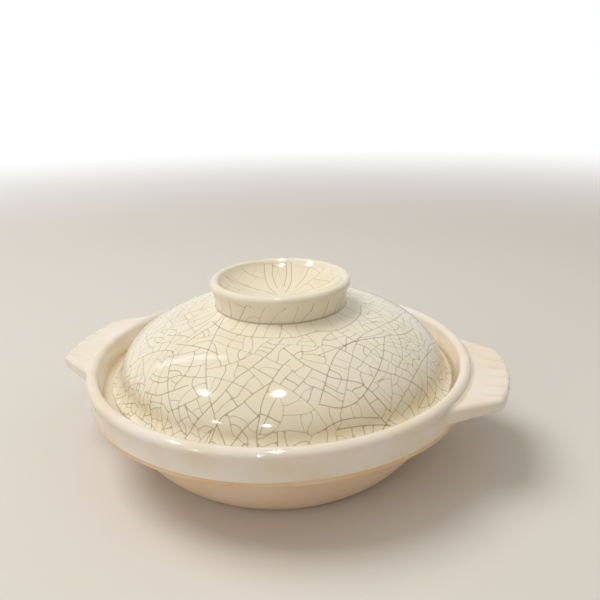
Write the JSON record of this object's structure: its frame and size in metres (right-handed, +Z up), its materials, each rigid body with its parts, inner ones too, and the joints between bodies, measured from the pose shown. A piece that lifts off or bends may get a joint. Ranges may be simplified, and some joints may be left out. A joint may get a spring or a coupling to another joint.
{
  "type": "donabe clay pot",
  "caption": "Shallow clay pot with a thick glazed rim and two ribbed ear handles, and a loose domed lid with crackle glaze and a hollow ring knob.",
  "frame": {"origin": "centre of the foot ring on the surface that the pot stands on", "axes": "+Z up along the pot's axis, +X towards the right ear as seen from the front, +Y to the back, where the lid's steam hole is"},
  "size_m": [0.2252, 0.19, 0.0878],
  "materials": {
    "white_glaze": "gloss",
    "crackle_glaze": "gloss"
  },
  "bodies": {
    "pot": {"pot_bowl": "white_glaze", "ear_left": "white_glaze", "ear_right": "white_glaze"},
    "lid": {"lid_dome": "crackle_glaze", "lid_knob": "crackle_glaze"}
  },
  "joints": [
    {"name": "lid_lift", "type": "slide", "parent": "pot", "child": "lid", "axis": [0, 0, 1], "range_m": [0, 0.08]}
  ]
}
